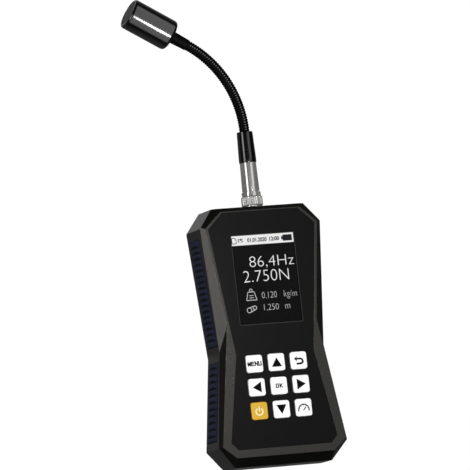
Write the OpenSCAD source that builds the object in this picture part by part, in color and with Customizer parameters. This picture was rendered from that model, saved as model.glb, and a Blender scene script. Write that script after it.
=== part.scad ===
// Belt tension tester: a hand-held meter with a sensor head on a flexible neck.
// The meter lies on its back on z = 0. The front faces +Z and the neck leaves along +Y.

/* [Housing] */
// Length of the housing
housing_length = 167; // [158:1:178]
// Greatest width, near the lower end
lower_width = 88.4; // [86:0.2:95]
// Width at the upper shoulders
upper_width = 83; // [81:0.5:90]
// Width at the waist
waist_width = 72; // [71:0.5:75]
// Depth from the rear face to the front face
housing_depth = 31; // [30:0.5:38]
// Depth of the front shell
front_depth = 6; // [5.8:0.1:7]
// Wall of the rear shell
wall = 2.8; // [2.5:0.1:3.2]
// Floor of the rear shell
floor_thickness = 2.6; // [2:0.1:3.4]

/* [Grips] */
// Width of a grip across the side of the housing
grip_width = 18; // [13:0.5:19]
// Depth of the pocket that a grip sits in
grip_pocket = 1.4; // [1:0.1:1.6]
// Height of the grip's crown above the side
grip_crown = 0.9; // [0.5:0.1:1.4]
// Spacing of the grooves in the upper grips
upper_groove_pitch = 3.8; // [3:0.1:5]
// Spacing of the grooves in the lower grips
lower_groove_pitch = 4.4; // [3:0.1:6]

/* [Display] */
// Width of the picture area
display_width = 43.2; // [38:0.1:44]
// Height of the picture area
display_height = 57.6; // [50:0.1:58.4]

/* [Keys] */
// Side of a key cap
key_size = 11.2; // [9:0.1:12.2]
// Spacing of the keys in both directions
key_pitch = 15.2; // [14.8:0.1:15.6]
// Height of a key cap above the overlay
key_height = 0.7; // [0.5:0.1:1.5]
// Travel of a key
key_travel = 0.4; // [0.2:0.05:0.6]

/* [Connector] */
// Height of the connector axis above the rear face
connector_z = 19; // [15:0.5:19]
// Diameter of the knurled coupling ring
ring_diameter = 13.8; // [13.2:0.1:15]
// Length of the coupling ring
ring_length = 5.9; // [5:0.1:7]
// Diameter of the plug sleeve at the ring
sleeve_diameter = 11.2; // [10:0.1:11.8]
// Length of the plug sleeve
sleeve_length = 19.3; // [14:0.1:24]
// Length of the shrink boot
boot_length = 20; // [14:0.5:26]

/* [Neck and head] */
// Outside diameter of the neck
neck_diameter = 6.9; // [6.5:0.1:7]
// Spacing of the neck joints
link_length = 7; // [6.6:0.1:9]
// Bend of the resting neck at each joint, in degrees
link_turn = 5.85; // [0:0.05:8]
// Length of the shrink sleeve in front of the head
head_sleeve_length = 12.2; // [8:0.1:16]
// Diameter of the sensor head
head_diameter = 21; // [19:0.5:24]
// Length of the sensor head
head_length = 32; // [28:0.5:40]

/* [Hidden] */
$fn = 64;

// Colours
shell_black = "#1d1d1f";
overlay_black = "#141414";
grip_blue = "#2c3660";
key_white = "#f2f2f2";
key_amber = "#e0b030";
board_green = "#1f5a38";
nickel = "#c9c9c9";
steel = "#9a9ca0";
shrink_black = "#161616";
pouch_grey = "#7d8288";

// Display and keypad, set out from the upper end downward
top_y = housing_length / 2;
low_y = -top_y;
display_margin = 13.3;
keypad_gap = 13.7;
window = [display_width + 0.6, display_height + 0.8];
lens = [display_width + 2.4, display_height + 2.6];
lens_gap = 0.1;
frame = lens + [6.4, 8];
key_radius = 1.6;
key_gap = 0.3;
key_flange = 1.2;
flange_size = key_size + 1.6;
stem_diameter = 4.4;
dome_height = 0.8;
dome_diameter = 8.4;
dome_gap = key_travel + 0.1;
display_y = top_y - display_margin - frame.y / 2;
frame_low_y = display_y - frame.y / 2;
keypad_y = frame_low_y - keypad_gap - key_pitch - flange_size / 2;

// Outline of the housing: right-hand corners, from the lower end to the upper end
waist_below_frame = 11;
waist_y = frame_low_y - waist_below_frame;
heel = [lower_width / 2 - 10.9, low_y];
hip = [lower_width / 2, low_y + 13];
waist = [waist_width / 2, waist_y];
shoulder = [upper_width / 2, top_y - 12.3];
crown = [upper_width / 2 - 9.7, top_y];
outline = mirrored([heel, hip, waist, shoulder, crown]);

// Line where the flat front ends and the bevels begin
rim_heel = heel + [0.2, 5.9];
rim_hip = hip + [-1.8, 0.6];
rim_waist_low = waist + [-2.6, 0];
rim_waist_up = waist + [-6.9, 0];
rim_shoulder = shoulder + [-2.9, -0.3];
rim_crown = crown + [-4.6, -2.4];
upper_side_tilt = 39.5;
shoulder_tilt = 40;
top_tilt = 45;
lower_side_tilt = 65;
heel_tilt = 55;
bottom_tilt = 42;
rear_bevel = 2.8;
low_bevel = 4;
corner_bevel = 3.4;
block_overlap = 30;
cutter = housing_length / 2;

// Levels through the depth
front_z = housing_depth;
split_z = front_z - front_depth;
overlay_thickness = 0.4;
overlay_recess = 0.5;
overlay_floor_z = front_z - overlay_recess;
overlay_top_z = overlay_floor_z + overlay_thickness;
plate_z = overlay_floor_z - 2;
lens_thickness = 1.2;
lens_z = overlay_floor_z - lens_thickness;
frame_height = 4.7;
board_thickness = 1.6;
board_top_z = plate_z - frame_height;
board_z = board_top_z - board_thickness;

// Overlay outline, tied to the rim
overlay_outline = mirrored([
    rim_heel + [-1.6, 5.1], rim_hip + [-6, 2.2], waist + [-9.3, -2.6],
    rim_shoulder + [-1.9, -0.6], rim_crown + [-1.1, -0.7]
]);

// Board, battery and screws
board_width = 51;
board_end_gap = 3.4;
board_low_y = low_y + wall + board_end_gap;
board_high_y = display_y + frame.y / 2;
battery_size = [36, 56, 8.6];
post_diameter = 8;
post_x = 31.4;
upper_post_margin = 22;
lower_post_margin = 20;
post_spots = [[post_x, top_y - upper_post_margin], [post_x, low_y + lower_post_margin]];
counterbore_diameter = 6.4;
counterbore_depth = 12;
screw_diameter = 3;
screw_head = [5.6, 2.2];
board_post_diameter = 6;
board_screw_diameter = 2.2;
board_screw_head = [4.2, 1.5];
board_screw_length = 7;
board_screw_x = 22;
board_screw_drop = 6.3;
board_screw_margin = 14.5;
board_spots = [
    [board_screw_x, frame_low_y - board_screw_drop], [board_screw_x, low_y + board_screw_margin]
];

// Grip runs: distances along a side from its waist corner
upper_side = shoulder - waist;
lower_side = waist - hip;
upper_run = [4.4, norm(upper_side) - 6];
lower_run = [5, norm(lower_side) - 5.4];
grip_margin = 0.9;
grip_z = split_z - grip_margin - grip_width;
groove_radius = 1.1;
groove_length = grip_width - 6;

// Charging socket
usb_size = [9, 3.2, 10.4];
usb_wall = 0.3;
usb_z = board_z - usb_size.y / 2;

// Connector: distances out from the top wall along the connector axis
flange_thickness = 0.9;
barrel_diameter = 9.6;
barrel_out = 4.2;
barrel_in = wall + 6.4;
nut_size = [13.4, 2.2];
bearing = 0.05;
ring_start = flange_thickness + 0.3;
ring_end = ring_start + ring_length;
ring_shoulder = 1.4;
nose_diameter = 8.4;
collar_start = ring_end + 0.1;
collar_length = 3;
collar_diameter = sleeve_diameter + 1;
sleeve_start = collar_start + collar_length;
sleeve_end = sleeve_start + sleeve_length;
sleeve_top_diameter = sleeve_diameter - 0.7;
boot_end = sleeve_end + boot_length;
boot_diameter = sleeve_top_diameter + 0.8;
boot_top_diameter = sleeve_top_diameter - 0.2;
insert_diameter = 6.6;
pin_diameter = 1;
pin_circle = 3.4;

// Neck: ball and cup joints dressed with coil turns
coil_wire = 1.7;
coil_radius = (neck_diameter - coil_wire) / 2;
core_diameter = neck_diameter - 0.9;
ball_radius = core_diameter / 2 + 0.15;
cup_radius = ball_radius + 0.25;
lead_diameter = 2.2;
cup_setback = sqrt(pow(cup_radius, 2) - pow(core_diameter / 2, 2));
cup_land = 0.3;
coil_first = coil_wire / 2 + 0.05;
coil_last = link_length - cup_setback - coil_wire / 2;
coil_turns = 3;
neck_start = [0, top_y + boot_end + link_length / 2];
neck_joints = 10;

// Head: distances from the last neck joint along the head axis
sleeve_from = link_length / 2 + 0.5;
head_from = sleeve_from + head_sleeve_length;
head_to = head_from + head_length;
head_round = 2.6;
head_wall = 2;
head_back = 4;
front_thickness = 1.6;
front_disc = head_diameter - 5;
microphone_size = [9.7, 6.7];
holder_length = 9;

// Helpers

// Closes a right-hand run of corners with its mirror image
function mirrored(right) =
    concat(right, [for (i = [len(right) - 1:-1:0]) [-right[i].x, right[i].y]]);

// Half-width at height y on the line through a and b
function on_line(a, b, y) = a.x + (b.x - a.x) * (y - a.y) / (b.y - a.y);

// Outward unit normal of an edge of an anticlockwise outline
function outward(a, b) = [b.y - a.y, a.x - b.x] / norm(b - a);

// Corner b moved in by t from both of its edges
function moved_in(a, b, c, t) =
    let (n = outward(a, b), m = outward(b, c)) b - t * (n + m) / (1 + n * m);

// Outline shrunk by t on every edge
function inset(points, t) =
    let (n = len(points))
    [for (i = [0:n - 1]) moved_in(points[(i + n - 1) % n], points[i], points[(i + 1) % n], t)];

// Place of neck joint k in plan
function joint_at(k) =
    k == 1 ? neck_start
    : joint_at(k - 1) + link_length * [-sin((k - 1) * link_turn), cos((k - 1) * link_turn)];

module both_sides() {
    children();
    mirror([1, 0, 0]) children();
}

module four_spots(spots) {
    for (spot = spots, side = [-1, 1]) translate([side * spot.x, spot.y, 0]) children();
}

// Rounded rectangle about the origin
module rounded_rect(size, r) {
    square([size.x - 2 * r, size.y], center = true);
    square([size.x, size.y - 2 * r], center = true);
    for (x = [-1, 1], y = [-1, 1])
        translate([x * (size.x / 2 - r), y * (size.y / 2 - r)]) circle(r);
}

// Slot with fully round ends about the origin
module slot(size) {
    square([size.x - size.y, size.y], center = true);
    for (x = [-1, 1]) translate([x * (size.x - size.y) / 2, 0]) circle(d = size.y);
}

// Slab of the outline given, from z0 to z1
module slab(points, z0, z1) {
    translate([0, 0, z0]) linear_extrude(z1 - z0) polygon(points);
}

// Frame whose +Z runs out along the connector axis, zero at the top wall
module on_connector() {
    translate([0, top_y, connector_z]) rotate([-90, 0, 0]) children();
}

// Frame at neck joint k whose +Z runs along the link that follows it
module on_joint(k) {
    spot = joint_at(k);
    translate([spot.x, spot.y, connector_z])
        rotate([0, 0, k * link_turn]) rotate([-90, 0, 0]) children();
}

// Frame on a side: x along the side from corner p, y into the housing
module on_side(p, direction) {
    translate([p.x, p.y, 0]) rotate([0, 0, atan2(direction.y, direction.x)]) children();
}

// Removes what lies above a plane falling outward from the line p to q on the front
module front_cut(p, q, tilt) {
    on_side(p, q - p) translate([0, 0, front_z]) rotate([tilt, 0, 0])
        translate([-cutter, -cutter, 0]) cube([norm(q - p) + 2 * cutter, 2 * cutter, cutter]);
}

// Removes the rear edge along the outline edge p to q
module rear_cut(p, q, depth) {
    on_side(p, q - p) translate([0, depth, 0]) rotate([-45, 0, 0])
        translate([-cutter, -cutter, -cutter]) cube([norm(q - p) + 2 * cutter, 2 * cutter, cutter]);
}

// Upper half of the housing form, tapering down past the waist
module upper_block() {
    tail = waist_y - block_overlap;
    difference() {
        slab(mirrored([[on_line(waist, shoulder, tail), tail], shoulder, crown]), 0, front_z);
        both_sides() {
            front_cut(rim_waist_up, rim_shoulder, upper_side_tilt);
            front_cut(rim_shoulder, rim_crown, shoulder_tilt);
            rear_cut(waist, shoulder, rear_bevel);
            rear_cut(shoulder, crown, corner_bevel);
        }
        front_cut(rim_crown, [-rim_crown.x, rim_crown.y], top_tilt);
        rear_cut(crown, [-crown.x, crown.y], rear_bevel);
    }
}

// Lower half of the housing form, tapering up past the waist
module lower_block() {
    tail = waist_y + block_overlap;
    difference() {
        slab(mirrored([heel, hip, [on_line(hip, waist, tail), tail]]), 0, front_z);
        both_sides() {
            front_cut(rim_hip, rim_waist_low, lower_side_tilt);
            front_cut(rim_heel, rim_hip, heel_tilt);
            rear_cut(hip, waist, low_bevel);
            rear_cut(heel, hip, corner_bevel);
        }
        front_cut([-rim_heel.x, rim_heel.y], rim_heel, bottom_tilt);
        rear_cut([-heel.x, heel.y], heel, low_bevel);
    }
}

// The two halves of the housing form between two levels
module housing_form(z0, z1) {
    intersection() {
        union() {
            upper_block();
            lower_block();
        }
        translate([-cutter, -2 * cutter, z0]) cube([2 * cutter, 4 * cutter, z1 - z0]);
    }
}

module key_openings(z0, z1) {
    for (column = [-1:1], row = [-1:1])
        translate([column * key_pitch, keypad_y + row * key_pitch, z0])
            linear_extrude(z1 - z0)
                rounded_rect([key_size + 2 * key_gap, key_size + 2 * key_gap], key_radius + key_gap);
}

// Housing

module front_shell() {
    color(shell_black) difference() {
        union() {
            difference() {
                housing_form(split_z, front_z);
                slab(inset(overlay_outline, -0.4), split_z - 1, plate_z);
            }
            four_spots(post_spots) translate([0, 0, split_z])
                cylinder(d = post_diameter, h = front_depth - 1);
        }
        slab(overlay_outline, overlay_floor_z, front_z + 1);
        translate([0, display_y, plate_z - 1]) linear_extrude(front_z)
            rounded_rect(lens + 2 * [lens_gap, lens_gap], 1);
        key_openings(plate_z - 1, front_z);
        four_spots(post_spots) translate([0, 0, split_z - 1])
            cylinder(d = screw_diameter, h = front_depth - 1);
    }
}

module rear_shell() {
    color(shell_black) difference() {
        union() {
            difference() {
                housing_form(0, split_z);
                slab(inset(outline, wall), floor_thickness, split_z + 1);
            }
            four_spots(post_spots) translate([0, 0, floor_thickness - 1])
                cylinder(d = post_diameter + 1, h = split_z - floor_thickness + 1);
            four_spots(board_spots) translate([0, 0, floor_thickness - 1])
                cylinder(d = board_post_diameter, h = board_z - floor_thickness + 1);
        }
        four_spots(post_spots) translate([0, 0, -1]) {
            cylinder(d = counterbore_diameter, h = counterbore_depth + 1);
            cylinder(d = screw_diameter, h = housing_depth);
        }
        four_spots(board_spots) translate([0, 0, board_top_z - board_screw_length - 1])
            cylinder(d = board_screw_diameter, h = board_screw_length);
        both_sides() {
            grip_base(waist, upper_side, upper_run, 1);
            grip_base(hip, lower_side, lower_run, 1);
        }
        on_connector() translate([0, 0, -wall - 1])
            cylinder(d = barrel_diameter + 2 * bearing, h = wall + 2);
        translate([0, low_y + wall + 1, usb_z]) rotate([90, 0, 0])
            linear_extrude(wall + 2) slot(usb_size);
    }
}

// Block that fills a grip's pocket; extra stands out past the side
module grip_base(corner, direction, run, extra) {
    on_side(corner, direction) translate([run[0], -extra, grip_z])
        cube([run[1] - run[0], grip_pocket + extra, grip_width]);
}

// Crowned grip with a row of thumb grooves
module grip(corner, direction, run, pitch) {
    crown_radius = (pow(grip_width / 2, 2) + pow(grip_crown, 2)) / (2 * grip_crown);
    grooves = floor((run[1] - run[0] - 3) / pitch);
    middle = (run[0] + run[1]) / 2;
    color(grip_blue) difference() {
        intersection() {
            grip_base(corner, direction, run, grip_crown + 1);
            on_side(corner, direction)
                translate([run[0] - 1, crown_radius - grip_crown, grip_z + grip_width / 2])
                    rotate([0, 90, 0]) cylinder(r = crown_radius, h = run[1] - run[0] + 2, $fn = 128);
        }
        on_side(corner, direction)
            for (i = [0:grooves - 1])
                translate([middle + (i - (grooves - 1) / 2) * pitch, -grip_crown - 0.3,
                           grip_z + (grip_width - groove_length) / 2])
                    cylinder(r = groove_radius, h = groove_length, $fn = 32);
    }
}

module grip_right_upper() { grip(waist, upper_side, upper_run, upper_groove_pitch); }
module grip_right_lower() { grip(hip, lower_side, lower_run, lower_groove_pitch); }
module grip_left_upper() { mirror([1, 0, 0]) grip_right_upper(); }
module grip_left_lower() { mirror([1, 0, 0]) grip_right_lower(); }

module front_overlay() {
    color(overlay_black) difference() {
        slab(overlay_outline, overlay_floor_z, overlay_top_z);
        translate([0, display_y, overlay_floor_z - 1]) linear_extrude(3) rounded_rect(window, 0.8);
        key_openings(overlay_floor_z - 1, front_z + 1);
    }
}

// Display and electronics

module display_lens() {
    color("#202428") translate([0, display_y, lens_z])
        linear_extrude(lens_thickness) rounded_rect(lens, 1);
}

module display_glass() {
    color("#0c0e12") translate([-lens.x / 2 + 0.2, display_y - lens.y / 2 + 0.2, plate_z])
        cube([lens.x - 0.4, lens.y - 0.4, lens_z - plate_z]);
}

module display_frame() {
    color(steel) translate([-frame.x / 2, display_y - frame.y / 2, board_top_z])
        cube([frame.x, frame.y, frame_height]);
}

module main_board() {
    color(board_green) difference() {
        translate([-board_width / 2, board_low_y, board_z])
            cube([board_width, board_high_y - board_low_y, board_thickness]);
        four_spots(board_spots) translate([0, 0, board_z - 1])
            cylinder(d = board_screw_diameter, h = 4);
    }
}

module dome_switches() {
    color(steel) for (column = [-1:1], row = [-1:1])
        translate([column * key_pitch, keypad_y + row * key_pitch, board_top_z])
            cylinder(d1 = dome_diameter, d2 = dome_diameter * 0.55, h = dome_height);
}

module battery() {
    color(pouch_grey) translate([0, display_y, floor_thickness])
        linear_extrude(battery_size.z) rounded_rect([battery_size.x, battery_size.y], 2);
}

// Charging socket on the underside of the board, its mouth in the lower end wall
module usb_socket() {
    mouth = [usb_size.x - 2 * usb_wall, usb_size.y - 2 * usb_wall];
    color(steel) translate([0, low_y + usb_size.z + 0.4, usb_z]) rotate([90, 0, 0]) {
        difference() {
            linear_extrude(usb_size.z) slot(usb_size);
            translate([0, 0, 4]) linear_extrude(usb_size.z) slot(mouth);
        }
        translate([-3.3, -0.35, 3]) cube([6.6, 0.7, 6]);
    }
}

module housing_screws() {
    shoulder_z = counterbore_depth;
    color(steel) four_spots(post_spots) {
        difference() {
            translate([0, 0, shoulder_z - screw_head.y]) cylinder(d = screw_head.x, h = screw_head.y);
            translate([-2, -0.4, shoulder_z - screw_head.y - 1]) cube([4, 0.8, 2]);
            translate([-0.4, -2, shoulder_z - screw_head.y - 1]) cube([0.8, 4, 2]);
        }
        translate([0, 0, shoulder_z]) cylinder(d = screw_diameter, h = split_z + 2.6 - shoulder_z);
    }
}

module board_screws() {
    color(steel) four_spots(board_spots) translate([0, 0, board_top_z]) {
        difference() {
            cylinder(d = board_screw_head.x, h = board_screw_head.y);
            translate([-1.5, -0.3, board_screw_head.y - 0.6]) cube([3, 0.6, 2]);
        }
        translate([0, 0, -board_screw_length]) cylinder(d = board_screw_diameter, h = board_screw_length);
    }
}

// Keys

// Key cap with a retaining flange under the front plate and a stem over its dome switch
module key_cap(column, row, shade) {
    stem_z = board_top_z + dome_height + dome_gap;
    color(shade) translate([column * key_pitch, keypad_y + row * key_pitch, 0]) {
        translate([0, 0, plate_z]) linear_extrude(overlay_top_z + key_height - plate_z)
            rounded_rect([key_size, key_size], key_radius);
        translate([0, 0, plate_z - key_flange]) linear_extrude(key_flange)
            rounded_rect([flange_size, flange_size], key_radius + (flange_size - key_size) / 2);
        translate([0, 0, stem_z]) cylinder(d = stem_diameter, h = plate_z - stem_z);
    }
}

module key_menu() { key_cap(-1, 1, key_white); }
module key_up() { key_cap(0, 1, key_white); }
module key_back() { key_cap(1, 1, key_white); }
module key_left() { key_cap(-1, 0, key_white); }
module key_ok() { key_cap(0, 0, key_white); }
module key_right() { key_cap(1, 0, key_white); }
module key_power() { key_cap(-1, -1, key_amber); }
module key_down() { key_cap(0, -1, key_white); }
module key_gauge() { key_cap(1, -1, key_white); }

// Connector

module sensor_socket() {
    color(nickel) on_connector() difference() {
        union() {
            translate([0, 0, -barrel_in]) cylinder(d = barrel_diameter, h = barrel_in + barrel_out);
            cylinder(d = ring_diameter - 1.2, h = flange_thickness);
        }
        translate([0, 0, -barrel_in - 1]) cylinder(d = insert_diameter, h = barrel_in + barrel_out + 2);
    }
}

module socket_nut() {
    color(nickel) on_connector() translate([0, 0, -wall - nut_size.y]) difference() {
        cylinder(d = nut_size.x, h = nut_size.y, $fn = 6);
        translate([0, 0, -1]) cylinder(d = barrel_diameter, h = 5);
    }
}

module socket_insert() {
    color(shrink_black) on_connector() difference() {
        translate([0, 0, -barrel_in]) cylinder(d = insert_diameter, h = barrel_in - 0.5);
        pin_ring() translate([0, 0, -6]) cylinder(d = pin_diameter, h = 8);
    }
}

module pin_ring() {
    for (a = [0:90:270]) rotate([0, 0, a + 45]) translate([pin_circle / 2, 0, 0]) children();
}

// Knurled ring that locks the plug on the socket
module coupling_ring() {
    flutes = 30;
    color(nickel) on_connector() difference() {
        translate([0, 0, ring_start]) cylinder(d = ring_diameter, h = ring_length);
        translate([0, 0, ring_start - 1])
            cylinder(d = barrel_diameter + 0.6, h = ring_length + 1 - ring_shoulder);
        cylinder(d = nose_diameter + 0.2, h = ring_end + 1);
        for (i = [0:flutes - 1]) rotate([0, 0, i * 360 / flutes])
            translate([ring_diameter / 2 + 0.2, 0, ring_start + 0.9])
                cylinder(d = 1, h = ring_length - 1.8, $fn = 24);
    }
}

// Nickel-plated plug: nose through the ring, slotted collar and long tapered sleeve
module plug_body() {
    color(nickel) on_connector() difference() {
        union() {
            translate([0, 0, barrel_out + 0.1]) {
                cylinder(d = barrel_diameter - 0.2, h = ring_end - ring_shoulder - barrel_out - 0.4);
                cylinder(d = nose_diameter, h = collar_start - barrel_out);
            }
            translate([0, 0, collar_start]) cylinder(d = collar_diameter, h = collar_length);
            translate([0, 0, sleeve_start])
                cylinder(d1 = sleeve_diameter, d2 = sleeve_top_diameter, h = sleeve_length);
        }
        cylinder(d = insert_diameter, h = sleeve_end + 1);
        for (a = [0:60:300]) rotate([0, 0, a])
            translate([collar_diameter / 2 - 0.6, -0.7, collar_start + 1]) cube([2, 1.4, collar_length]);
    }
}

module plug_insert() {
    color(shrink_black) on_connector() difference() {
        translate([0, 0, -0.4]) cylinder(d = insert_diameter, h = sleeve_start + 0.4);
        pin_ring() translate([0, 0, -1]) cylinder(d = pin_diameter, h = 8);
    }
}

module contact_pins() {
    color("#c8a650") on_connector() pin_ring() translate([0, 0, -5.6]) cylinder(d = pin_diameter, h = 12);
}

module shrink_boot() {
    color(shrink_black) on_connector() translate([0, 0, sleeve_end]) difference() {
        cylinder(d1 = boot_diameter, d2 = boot_top_diameter, h = boot_length);
        translate([0, 0, -1]) cylinder(d = core_diameter, h = boot_length + 2);
    }
}

// Neck

// One coil turn about the neck axis at height z
module coil_turn(z) {
    translate([0, 0, z]) rotate_extrude() translate([coil_radius, 0]) circle(d = coil_wire);
}

// Stretch of neck from a ball at the origin to a cup about the next joint
module neck_link() {
    difference() {
        union() {
            sphere(ball_radius);
            cylinder(d = core_diameter, h = link_length - cup_setback - cup_land);
            for (i = [0:coil_turns - 1])
                coil_turn(coil_first + i * (coil_last - coil_first) / (coil_turns - 1));
        }
        translate([0, 0, link_length]) sphere(cup_radius);
        translate([0, 0, -link_length]) cylinder(d = lead_diameter, h = 3 * link_length);
    }
}

// Fixed foot of the neck, held in the plug and the boot
module neck_root() {
    foot = sleeve_start + 1;
    tip = boot_end + link_length / 2;
    color(shrink_black) on_connector() difference() {
        union() {
            translate([0, 0, foot]) cylinder(d = core_diameter, h = tip - cup_setback - cup_land - foot);
            coil_turn(tip - cup_setback - coil_wire / 2);
        }
        translate([0, 0, tip]) sphere(cup_radius);
        translate([0, 0, foot - 1]) cylinder(d = lead_diameter, h = tip - foot + 2);
    }
}

module placed_link(k) { color(shrink_black) on_joint(k) neck_link(); }
module neck_link_1() { placed_link(1); }
module neck_link_2() { placed_link(2); }
module neck_link_3() { placed_link(3); }
module neck_link_4() { placed_link(4); }
module neck_link_5() { placed_link(5); }
module neck_link_6() { placed_link(6); }
module neck_link_7() { placed_link(7); }
module neck_link_8() { placed_link(8); }
module neck_link_9() { placed_link(9); }

// Last stretch of neck, clamped in the head by its collar
module neck_end() {
    color(shrink_black) on_joint(neck_joints) difference() {
        union() {
            sphere(ball_radius);
            cylinder(d = core_diameter, h = head_from + head_back + 2);
            for (z = [coil_first, coil_first + coil_wire]) coil_turn(z);
            translate([0, 0, head_from + head_back]) cylinder(d = core_diameter + 4, h = 2);
        }
        translate([0, 0, -link_length]) cylinder(d = lead_diameter, h = head_from + head_length);
    }
}

// Head

module head_sleeve() {
    color(shrink_black) on_joint(neck_joints) translate([0, 0, sleeve_from]) difference() {
        cylinder(d1 = neck_diameter + 0.4, d2 = neck_diameter + 1, h = head_sleeve_length);
        translate([0, 0, -1]) cylinder(d = core_diameter, h = head_sleeve_length + 2);
    }
}

// Half profile of the head: radius across, length up, both outer edges rounded
module head_profile() {
    r = head_diameter / 2;
    square([r - head_round, head_length]);
    translate([0, head_round]) square([r, head_length - 2 * head_round]);
    for (y = [head_round, head_length - head_round])
        translate([r - head_round, y]) circle(head_round);
}

module head_shell() {
    color("#242424") on_joint(neck_joints) translate([0, 0, head_from]) difference() {
        rotate_extrude() intersection() {
            head_profile();
            square([head_diameter, head_length]);
        }
        translate([0, 0, -1]) cylinder(d = core_diameter, h = head_back + 2);
        translate([0, 0, head_back])
            cylinder(d = head_diameter - 2 * head_wall, h = head_length - head_back - front_thickness);
        translate([0, 0, head_back]) cylinder(d = front_disc, h = head_length);
    }
}

module head_front() {
    color("#3a3a3a") on_joint(neck_joints) translate([0, 0, head_to - front_thickness])
        cylinder(d = front_disc, h = front_thickness - 0.2);
}

module microphone() {
    color(nickel) on_joint(neck_joints)
        translate([0, 0, head_to - front_thickness - 0.3 - microphone_size.y])
            cylinder(d = microphone_size.x, h = microphone_size.y);
}

module microphone_holder() {
    color("#2b2b2b") on_joint(neck_joints)
        translate([0, 0, head_to - front_thickness - holder_length]) difference() {
            cylinder(d = head_diameter - 2 * head_wall, h = holder_length);
            translate([0, 0, -1]) cylinder(d = microphone_size.x, h = holder_length + 2);
        }
}

front_shell();
rear_shell();
grip_left_upper();
grip_left_lower();
grip_right_upper();
grip_right_lower();
front_overlay();
display_lens();
display_glass();
display_frame();
main_board();
key_menu();
key_up();
key_back();
key_left();
key_ok();
key_right();
key_power();
key_down();
key_gauge();
dome_switches();
battery();
usb_socket();
housing_screws();
board_screws();
sensor_socket();
socket_nut();
socket_insert();
coupling_ring();
plug_body();
plug_insert();
contact_pins();
shrink_boot();
neck_root();
neck_link_1();
neck_link_2();
neck_link_3();
neck_link_4();
neck_link_5();
neck_link_6();
neck_link_7();
neck_link_8();
neck_link_9();
neck_end();
head_sleeve();
head_shell();
head_front();
microphone();
microphone_holder();
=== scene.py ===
"""Belt tension tester: a hand-held meter with a sensor head on a flexible neck, dressed around its solids."""
import math

import bmesh
import bpy
import numpy as np
from mathutils import Matrix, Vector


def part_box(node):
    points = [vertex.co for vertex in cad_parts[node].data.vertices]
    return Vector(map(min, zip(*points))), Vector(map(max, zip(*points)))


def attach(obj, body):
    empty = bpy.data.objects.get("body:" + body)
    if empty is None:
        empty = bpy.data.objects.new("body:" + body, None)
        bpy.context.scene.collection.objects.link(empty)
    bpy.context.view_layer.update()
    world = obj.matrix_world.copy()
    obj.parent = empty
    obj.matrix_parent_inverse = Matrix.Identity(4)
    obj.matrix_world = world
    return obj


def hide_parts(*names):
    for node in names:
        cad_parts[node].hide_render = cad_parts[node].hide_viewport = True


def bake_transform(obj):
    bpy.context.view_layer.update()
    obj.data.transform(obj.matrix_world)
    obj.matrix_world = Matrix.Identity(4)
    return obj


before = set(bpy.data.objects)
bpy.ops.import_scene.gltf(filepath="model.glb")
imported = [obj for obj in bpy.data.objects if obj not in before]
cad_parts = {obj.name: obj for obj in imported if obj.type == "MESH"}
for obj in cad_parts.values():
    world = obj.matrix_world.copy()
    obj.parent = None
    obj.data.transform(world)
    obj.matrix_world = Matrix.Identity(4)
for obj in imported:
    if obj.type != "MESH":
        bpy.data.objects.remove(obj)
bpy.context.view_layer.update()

bl_info = {
    "name": "Belt tension tester",
    "version": (1, 0, 0),
    "blender": (4, 5, 0),
    "location": "3D View > Sidebar > Tester",
    "description": "Dresses the solids of a hand-held belt tension tester",
    "category": "Add Mesh",
}

# Places and sizes shared with the solids, in millimetres

MM = 0.001


def node_box(node):
    """Lowest and highest corner of a solid as arrays in millimetres."""
    low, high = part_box(node)
    return np.array(low) / MM, np.array(high) / MM


HIP = np.array([44.2, -70.5])
WAIST = np.array([36.0, -9.0])
SHOULDER = np.array([41.5, 71.2])
TOP_Y = node_box("rear_shell")[1][1]
CONNECTOR_Z = np.mean(node_box("coupling_ring"), axis=0)[2]
DISPLAY_Y = np.mean(node_box("display_lens"), axis=0)[1]
GLASS_Z = node_box("display_glass")[1][2]
FRONT_Z = node_box("front_shell")[1][2]
NECK_START = node_box("shrink_boot")[1][1]
LINK_LENGTH = 7.0
LINK_TURN = math.radians(5.85)
NECK_JOINTS = 10
NECK_ANGLE = NECK_JOINTS * LINK_TURN
NECK_BEND = LINK_LENGTH / 2 / math.tan(LINK_TURN / 2)
NECK_LENGTH = NECK_BEND * NECK_ANGLE
UP = np.array([0, 0, 1.0])

# Strokes of the block letters on two keys, in a box one wide and one high

LETTERS = {
    "M": [[(0, 0), (0, 1)], [(0, 1), (0.5, 0.2)], [(0.5, 0.2), (1, 1)], [(1, 1), (1, 0)]],
    "E": [[(0, 0), (0, 1)], [(0, 1), (1, 1)], [(0, 0.5), (0.85, 0.5)], [(0, 0), (1, 0)]],
    "N": [[(0, 0), (0, 1)], [(0, 1), (1, 0)], [(1, 0), (1, 1)]],
    "U": [[(0, 1), (0, 0.15)], [(0, 0), (1, 0)], [(1, 0.15), (1, 1)]],
    "O": [[(0, 0), (0, 1)], [(0, 1), (1, 1)], [(1, 1), (1, 0)], [(1, 0), (0, 0)]],
    "K": [[(0, 0), (0, 1)], [(0, 0.4), (1, 1)], [(0.35, 0.55), (1, 0)]],
}

KEYS = {
    "key_menu": "MENU", "key_up": "up", "key_back": "back",
    "key_left": "left", "key_ok": "OK", "key_right": "right",
    "key_power": "power", "key_down": "down", "key_gauge": "gauge",
}


# Settings that a user would change

def linear(colour):
    """Linear red, green and blue of an sRGB hex colour: each channel through the sRGB curve."""
    channels = [int(colour[i:i + 2], 16) / 255 for i in (1, 3, 5)]
    return [c / 12.92 if c <= 0.04045 else ((c + 0.055) / 1.055) ** 2.4 for c in channels]


def length(name, description, millimetres):
    """A length property with its default in millimetres."""
    return bpy.props.FloatProperty(
        name=name, description=description, default=millimetres * MM, unit="LENGTH", subtype="DISTANCE")


def shade(name, description, colour):
    """A colour property with its default as an sRGB hex value."""
    return bpy.props.FloatVectorProperty(
        name=name, description=description, default=linear(colour), subtype="COLOR", size=3, min=0, max=1)


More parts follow.
